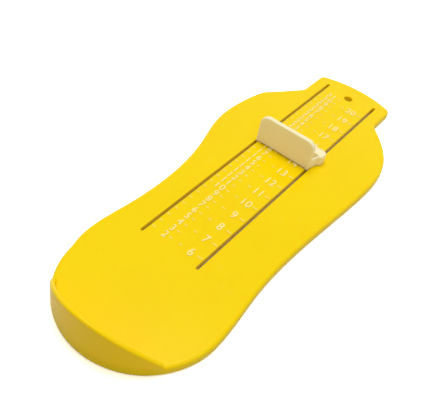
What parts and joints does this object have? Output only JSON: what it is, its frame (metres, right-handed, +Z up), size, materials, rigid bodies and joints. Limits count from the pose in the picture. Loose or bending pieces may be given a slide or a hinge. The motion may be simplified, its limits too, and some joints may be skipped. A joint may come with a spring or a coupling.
{
  "type": "foot measuring device",
  "caption": "Foot-shaped measuring board with a curved heel wall, a printed scale and a toe slider that runs in two slots to read the length of a child's foot.",
  "frame": {"origin": "middle of the board's outline box, on the surface that the board stands on", "axes": "+Y along the slots from heel to toe, +X to the right for someone looking from heel to toe, +Z up"},
  "size_m": [0.0838, 0.2258, 0.0208],
  "materials": {
    "board_plastic": "injection-moulded yellow ABS, semi-gloss",
    "slider_plastic": "injection-moulded ivory ABS, semi-gloss",
    "printing_ink": "raised print in thick pale yellow ink"
  },
  "bodies": {
    "board": {"foot_board": "board_plastic", "centimetre_ticks": "printing_ink", "centimetre_dashes": "printing_ink", "size_ticks": "printing_ink", "size_dashes": "printing_ink"},
    "slider": {"toe_slider": "slider_plastic", "slider_keeper": "slider_plastic"}
  },
  "joints": [
    {"name": "toe_slide", "type": "slide", "parent": "board", "child": "slider", "axis": [0, 1, 0], "range_m": [-0.0866, 0.0624]}
  ]
}
